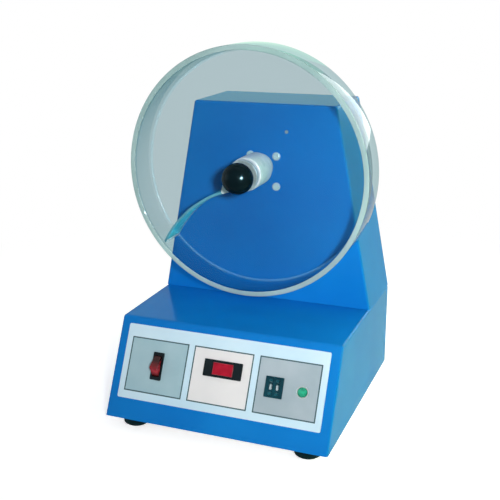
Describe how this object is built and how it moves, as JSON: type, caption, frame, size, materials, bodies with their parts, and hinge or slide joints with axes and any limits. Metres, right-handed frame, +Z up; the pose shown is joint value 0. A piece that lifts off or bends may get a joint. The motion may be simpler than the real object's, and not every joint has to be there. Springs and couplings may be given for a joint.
{
  "type": "tablet friability tester",
  "caption": "Bench tester with a clear drum and curved vane on a motor shaft, in front of a tapered tower on a sloping-front base with a timer panel.",
  "frame": {"origin": "centre of the bounding box's footprint, on the ground under the feet", "axes": "+X to the right as seen from the front, +Y from the drum to the rear, +Z up"},
  "size_m": [0.3, 0.2896, 0.449],
  "materials": {
    "blue_paint": "smooth blue powder coat",
    "label_film": "pale blue film on a thin plate",
    "black_plastic": "moulded black plastic",
    "gloss_black": "polished black ball",
    "red_plastic": "translucent red plastic",
    "white_plastic": "moulded white plastic",
    "green_lens": "translucent green lens",
    "clear_acrylic": "clear cast acrylic, polished",
    "satin_aluminium": "satin, turned",
    "steel": "plain steel",
    "bronze": "sintered bronze",
    "black_rubber": "moulded dark rubber",
    "zinc_plate": "zinc-plated steel",
    "circuit_board": "green circuit board",
    "copper_winding": "lacquered copper winding",
    "core_iron": "stacked iron sheets"
  },
  "bodies": {
    "housing": {"base_housing": "blue_paint", "base_plate": "zinc_plate", "foot_front_left": "black_rubber", "foot_front_right": "black_rubber", "foot_rear_left": "black_rubber", "foot_rear_right": "black_rubber", "tower_housing": "blue_paint", "rear_cover": "blue_paint", "shaft_bush": "bronze", "gearbox": "zinc_plate", "drive_motor": "steel", "gearbox_screw_1": "steel", "gearbox_screw_2": "steel", "gearbox_screw_3": "steel", "gearbox_screw_4": "steel", "label_plate": "label_film", "switch_body": "black_plastic", "display_bezel": "black_plastic", "display_window": "red_plastic", "display_module": "black_plastic", "setter_body": "black_plastic", "digit_axle": "steel", "lamp_bezel": "steel", "lamp_lens": "green_lens", "mains_inlet": "black_plastic", "inlet_pin_line": "steel", "inlet_pin_neutral": "steel", "inlet_pin_earth": "steel", "fuse_holder": "black_plastic", "transformer_core": "core_iron", "transformer_coil": "copper_winding", "control_board": "circuit_board", "relay": "white_plastic", "terminal_block": "black_plastic", "capacitor": "satin_aluminium"},
    "drum": {"drum_body": "clear_acrylic", "drum_vane": "clear_acrylic", "hub_sleeve": "satin_aluminium", "hub_flange": "satin_aluminium", "drive_shaft": "steel"},
    "drum_cover": {"drum_cover": "clear_acrylic"},
    "clamp_washer": {"clamp_washer": "satin_aluminium"},
    "clamp_knob": {"clamp_knob": "gloss_black"},
    "switch_rocker": {"switch_rocker": "red_plastic"},
    "tens_wheel": {"tens_wheel": "white_plastic"},
    "units_wheel": {"units_wheel": "white_plastic"},
    "tens_plus_button": {"tens_plus_button": "black_plastic"},
    "tens_minus_button": {"tens_minus_button": "black_plastic"},
    "units_plus_button": {"units_plus_button": "black_plastic"},
    "units_minus_button": {"units_minus_button": "black_plastic"},
    "fuse_cap": {"fuse_cap": "black_plastic"}
  },
  "joints": [
    {"name": "drum_spin", "type": "hinge", "parent": "housing", "child": "drum", "pos_m": [0, 0.0302, 0.299], "axis": [0, -1, 0], "continuous": true},
    {"name": "cover_lift_off", "type": "slide", "parent": "drum", "child": "drum_cover", "axis": [0, -1, 0], "range_m": [0, 0.08]},
    {"name": "washer_travel", "type": "slide", "parent": "drum_cover", "child": "clamp_washer", "axis": [0, -1, 0], "range_m": [0, 0.0106]},
    {"name": "knob_turn", "type": "hinge", "parent": "clamp_washer", "child": "clamp_knob", "pos_m": [0, -0.0414, 0.299], "axis": [0, -1, 0], "range_deg": [0, 2520]},
    {"name": "rocker_tilt", "type": "hinge", "parent": "housing", "child": "switch_rocker", "pos_m": [-0.08167, -0.11477, 0.07575], "axis": [-1, 0, 0], "range_deg": [0, 20]},
    {"name": "tens_wheel_turn", "type": "hinge", "parent": "housing", "child": "tens_wheel", "pos_m": [0.06327, -0.10872, 0.07043], "axis": [1, 0, 0], "continuous": true},
    {"name": "units_wheel_turn", "type": "hinge", "parent": "housing", "child": "units_wheel", "pos_m": [0.07127, -0.10872, 0.07043], "axis": [1, 0, 0], "continuous": true},
    {"name": "tens_plus_press", "type": "slide", "parent": "housing", "child": "tens_plus_button", "axis": [0, 0.8912, -0.4537], "range_m": [0, 0.0012], "stiffness_N_per_m": 400},
    {"name": "tens_minus_press", "type": "slide", "parent": "housing", "child": "tens_minus_button", "axis": [0, 0.8912, -0.4537], "range_m": [0, 0.0012], "stiffness_N_per_m": 400},
    {"name": "units_plus_press", "type": "slide", "parent": "housing", "child": "units_plus_button", "axis": [0, 0.8912, -0.4537], "range_m": [0, 0.0012], "stiffness_N_per_m": 400},
    {"name": "units_minus_press", "type": "slide", "parent": "housing", "child": "units_minus_button", "axis": [0, 0.8912, -0.4537], "range_m": [0, 0.0012], "stiffness_N_per_m": 400},
    {"name": "fuse_cap_turn", "type": "hinge", "parent": "housing", "child": "fuse_cap", "pos_m": [0.102, 0.1345, 0.07], "axis": [0, 1, 0], "range_deg": [0, 90]}
  ],
  "couplings": [
    {"joint": "washer_travel", "follows": "knob_turn", "m_per_rad": 0.00023873}
  ]
}
